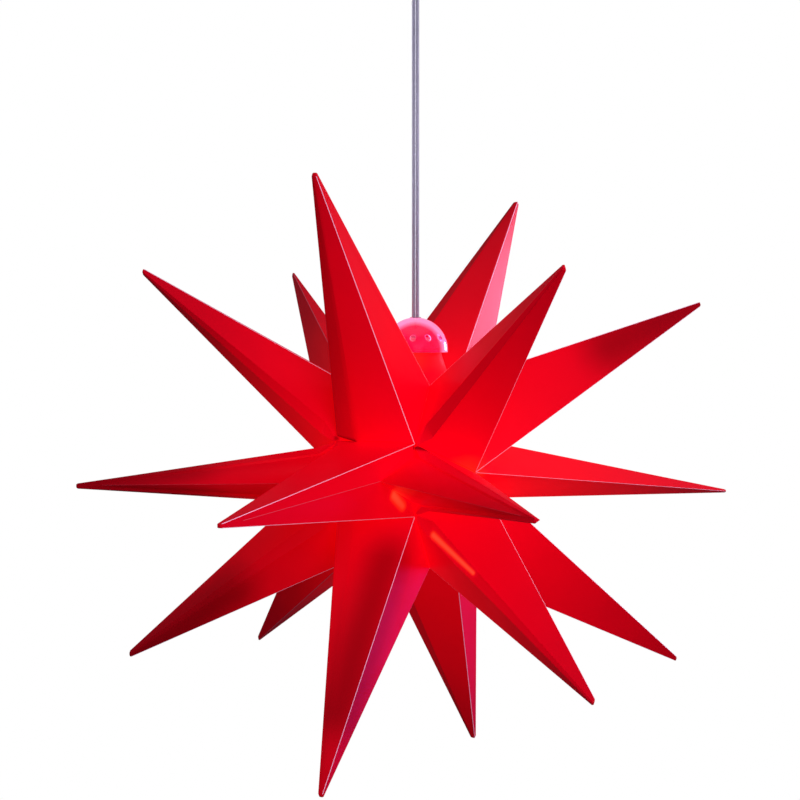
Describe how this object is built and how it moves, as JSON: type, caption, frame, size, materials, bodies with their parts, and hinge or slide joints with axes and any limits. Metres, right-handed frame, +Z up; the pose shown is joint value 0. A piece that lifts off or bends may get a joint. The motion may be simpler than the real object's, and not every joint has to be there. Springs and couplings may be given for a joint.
{
  "type": "hanging led star",
  "caption": "Lit hollow plastic star with long plug-together spikes, hung on a clear cord from a ceiling hook, with a domed cap and lamp unit that pull out of its neck.",
  "frame": {"origin": "middle of the ceiling plate's flat top face, where it meets the ceiling", "axes": "+Z up to the ceiling, -Y towards the star's front, +X along the line through the star's two poles to its right"},
  "size_m": [0.4238, 0.5706, 0.7387],
  "materials": {
    "red_plastic": "translucent satin, lit from inside",
    "clear_plastic": "clear gloss",
    "cord_sheath": "clear gloss over twin cores",
    "white_plastic": "satin",
    "plated_steel": "bright plated",
    "lamp_metal": "satin",
    "lamp_board": "matte",
    "lamp_emitter": "matte phosphor",
    "frosted_plastic": "frosted"
  },
  "bodies": {
    "ceiling_fitting": {"ceiling_plate": "white_plastic", "plate_screw_right": "plated_steel", "plate_screw_left": "plated_steel", "ceiling_hook": "plated_steel"},
    "ring": {"hanging_ring": "plated_steel"},
    "eye": {"swivel_eye": "plated_steel"},
    "pendant": {"grip_body": "clear_plastic", "grip_cap": "clear_plastic", "grip_screw": "plated_steel", "cord": "cord_sheath", "cord_tail": "cord_sheath", "cap_dome": "clear_plastic", "cap_plate": "clear_plastic", "cord_bush": "clear_plastic", "cord_clamp": "white_plastic", "lamp_holder": "white_plastic", "holder_nut": "white_plastic", "led_base": "lamp_metal", "led_board": "lamp_board", "led_emitter": "lamp_emitter", "led_bulb": "frosted_plastic"},
    "star_shell": {"neck": "red_plastic", "floor_cover": "red_plastic", "ring_spike_top_front": "red_plastic", "ring_spike_front": "red_plastic", "ring_spike_bottom_front": "red_plastic", "ring_spike_bottom_back": "red_plastic", "ring_spike_back": "red_plastic", "ring_spike_top_back": "red_plastic", "right_spike_top_front": "red_plastic", "right_spike_front": "red_plastic", "right_spike_bottom_front": "red_plastic", "right_spike_bottom_back": "red_plastic", "right_spike_back": "red_plastic", "right_spike_top_back": "red_plastic", "left_spike_top_front": "red_plastic", "left_spike_front": "red_plastic", "left_spike_bottom_front": "red_plastic", "left_spike_bottom_back": "red_plastic", "left_spike_back": "red_plastic", "left_spike_top_back": "red_plastic"}
  },
  "joints": [
    {"name": "ring_swing", "type": "hinge", "parent": "ceiling_fitting", "child": "ring", "pos_m": [0, 0, -0.0243], "axis": [1, 0, 0], "range_deg": [-25, 25]},
    {"name": "eye_swing", "type": "hinge", "parent": "ring", "child": "eye", "pos_m": [0, 0, -0.0403], "axis": [0, 1, 0], "range_deg": [-25, 25]},
    {"name": "cord_turn", "type": "hinge", "parent": "eye", "child": "pendant", "pos_m": [0, 0, -0.0523], "axis": [0, 0, 1], "continuous": true},
    {"name": "star_pull_off", "type": "slide", "parent": "pendant", "child": "star_shell", "axis": [0, 0, -1], "range_m": [0, 0.09]}
  ]
}
